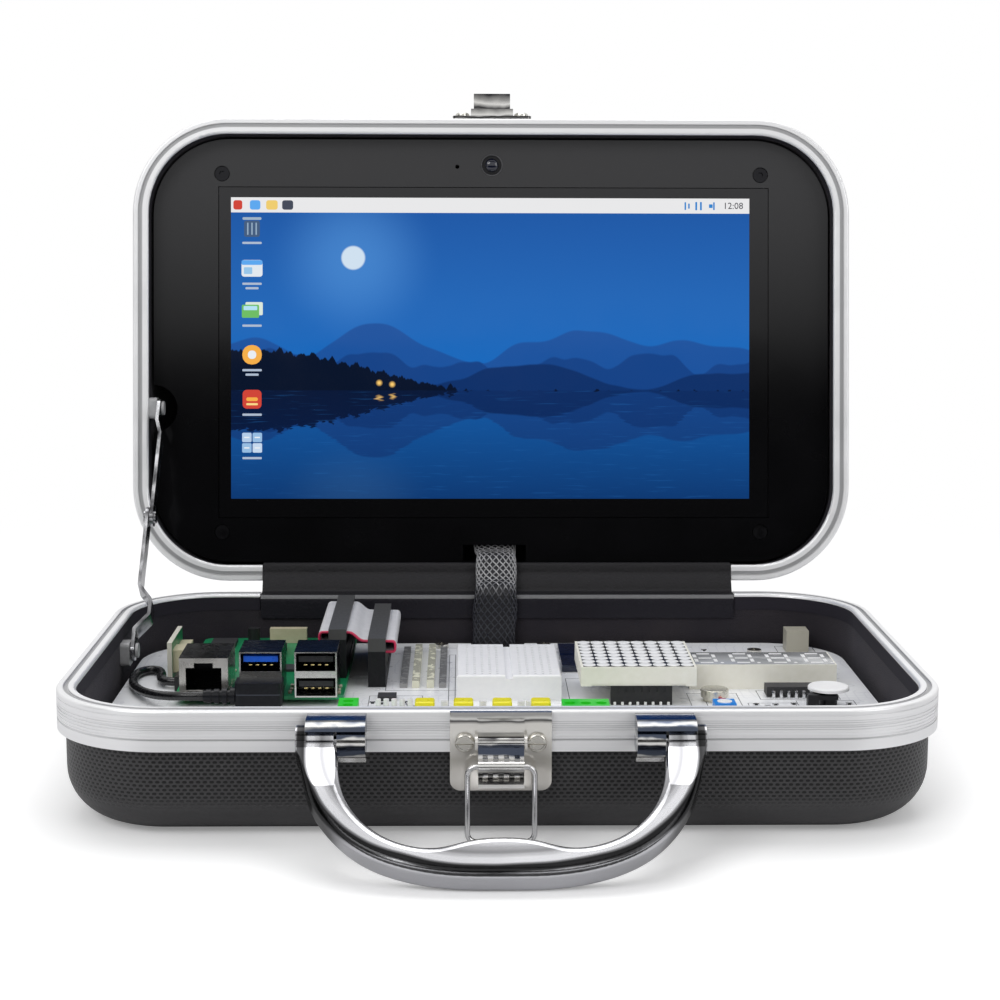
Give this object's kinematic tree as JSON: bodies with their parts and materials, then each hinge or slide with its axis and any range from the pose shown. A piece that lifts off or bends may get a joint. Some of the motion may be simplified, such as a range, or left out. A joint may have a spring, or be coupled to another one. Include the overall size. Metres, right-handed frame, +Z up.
{
  "type": "electronics learning kit",
  "caption": "Carrying case with aluminium frames, a display in its propped lid and a lesson board with a small computer, breadboard, displays, sensors and push buttons in its base.",
  "frame": {"origin": "centre of the base's flat underside, on the surface that it stands on", "axes": "+Z up, +X to the right of a person who faces the display, +Y to the hinge"},
  "size_m": [0.272, 0.2883, 0.2262],
  "materials": {
    "moulded_shell": "textured black moulded shell",
    "frame_aluminium": "satin anodised extrusion",
    "lining_fabric": "dark flocked lining",
    "hinge_plastic": "black moulded rail",
    "steel_pin": "plain steel",
    "leatherette": "black leatherette",
    "white_board": "white printed circuit board",
    "brass_post": "turned brass",
    "nickel": "bright nickel plate",
    "green_board": "solder mask",
    "handle_chrome": "polished chrome plate",
    "socket_metal": "pressed steel shield",
    "black_plastic": "black moulding",
    "dark_chip": "epoxy package",
    "blue_plastic": "blue moulding",
    "ribbon_grey": "grey insulation with a red edge",
    "white_plastic": "white moulding",
    "cream_plastic": "cream moulding",
    "navy_tile": "dark blue tile",
    "yellow_cap": "yellow moulding",
    "grey_plastic": "grey moulding",
    "green_terminal": "bright green moulding",
    "panel_gloss": "dark gloss sheet",
    "screen_glass": "front sheet of the display",
    "sleeve_braid": "braided sleeve",
    "lead_rubber": "black sheath",
    "link_steel": "zinc-plated strip"
  },
  "bodies": {
    "base": {"base_shell": "moulded_shell", "base_lining": "lining_fabric", "base_frame": "frame_aluminium", "hinge_base_rail": "hinge_plastic", "hinge_pin": "steel_pin", "hinge_cover": "leatherette", "main_board": "white_board", "standoffs": "brass_post", "board_screws": "nickel", "computer_board": "green_board", "network_jack": "socket_metal", "usb_shields": "socket_metal", "usb_tongues": "blue_plastic", "circuit_chips": "dark_chip", "small_sockets": "cream_plastic", "ribbon_plugs": "black_plastic", "ribbon_cable": "ribbon_grey", "adapter_board": "green_board", "breadboard": "white_plastic", "led_matrix": "cream_plastic", "pin_headers": "black_plastic", "digit_display": "cream_plastic", "sensor_tiles": "navy_tile", "button_housings": "black_plastic", "buzzer": "nickel", "trimmer_body": "blue_plastic", "sensor_bracket": "black_plastic", "sensor_dome": "white_plastic", "terminal_blocks": "green_terminal", "indicator_leds": "white_plastic", "usb_plug": "black_plastic", "usb_lead": "lead_rubber", "handle_brackets": "nickel", "pivot_pins": "steel_pin", "latch_plate": "nickel", "front_screws": "nickel", "stay_base_anchor": "grey_plastic", "braided_sleeve": "sleeve_braid"},
    "lid": {"lid_shell": "moulded_shell", "lid_lining": "lining_fabric", "lid_frame": "frame_aluminium", "hinge_lid_rail": "hinge_plastic", "lid_panel": "panel_gloss", "lid_screws": "nickel", "display_glass": "screen_glass", "display_module": "black_plastic", "camera_module": "black_plastic", "lid_keeper": "nickel", "stay_lid_anchor": "grey_plastic"},
    "stay_lower": {"stay_lower_link": "link_steel"},
    "stay_upper": {"stay_upper_link": "link_steel"},
    "handle": {"handle": "handle_chrome"},
    "latch_lever": {"latch_lever": "nickel"},
    "latch_bail": {"latch_bail": "nickel"},
    "button_1": {"button_cap_1": "yellow_cap"},
    "button_2": {"button_cap_2": "yellow_cap"},
    "button_3": {"button_cap_3": "yellow_cap"},
    "button_4": {"button_cap_4": "yellow_cap"},
    "trimmer": {"trimmer_dial": "white_plastic"}
  },
  "joints": [
    {"name": "lid_hinge", "type": "hinge", "parent": "base", "child": "lid", "pos_m": [0, 0.0907, 0.0405], "axis": [1, 0, 0], "range_deg": [0, 98.63], "deforming": ["hinge_cover", "braided_sleeve"]},
    {"name": "stay_foot", "type": "hinge", "parent": "base", "child": "stay_lower", "pos_m": [-0.126, 0.03, 0.0309], "axis": [1, 0, 0], "range_deg": [0, 135]},
    {"name": "stay_head", "type": "hinge", "parent": "lid", "child": "stay_upper", "pos_m": [-0.126, 0.10365, 0.10782], "axis": [1, 0, 0], "range_deg": [-135, 0]},
    {"name": "handle_pivot", "type": "hinge", "parent": "base", "child": "handle", "pos_m": [0, -0.0936, 0.0329], "axis": [-1, 0, 0], "range_deg": [0, 38.5]},
    {"name": "lever_pivot", "type": "hinge", "parent": "base", "child": "latch_lever", "pos_m": [0, -0.0915, 0.0315], "axis": [1, 0, 0], "range_deg": [-110, 0]},
    {"name": "bail_pivot", "type": "hinge", "parent": "latch_lever", "child": "latch_bail", "pos_m": [0, -0.0945, 0.0252], "axis": [-1, 0, 0], "range_deg": [-8, 180]},
    {"name": "button_1_press", "type": "slide", "parent": "base", "child": "button_1", "axis": [0, 0, -1], "range_m": [0, 0.0005], "stiffness_N_per_m": 400, "springref_m": -0.001},
    {"name": "button_2_press", "type": "slide", "parent": "base", "child": "button_2", "axis": [0, 0, -1], "range_m": [0, 0.0005], "stiffness_N_per_m": 400, "springref_m": -0.001},
    {"name": "button_3_press", "type": "slide", "parent": "base", "child": "button_3", "axis": [0, 0, -1], "range_m": [0, 0.0005], "stiffness_N_per_m": 400, "springref_m": -0.001},
    {"name": "button_4_press", "type": "slide", "parent": "base", "child": "button_4", "axis": [0, 0, -1], "range_m": [0, 0.0005], "stiffness_N_per_m": 400, "springref_m": -0.001},
    {"name": "trimmer_turn", "type": "hinge", "parent": "base", "child": "trimmer", "pos_m": [0.0736, -0.027, 0.027], "axis": [0, 0, 1], "range_deg": [-120, 120]}
  ],
  "couplings": [
    {"joint": "stay_foot", "follows": "lid_hinge", "ratio": 1.3511},
    {"joint": "stay_head", "follows": "lid_hinge", "ratio": -1.3305}
  ]
}
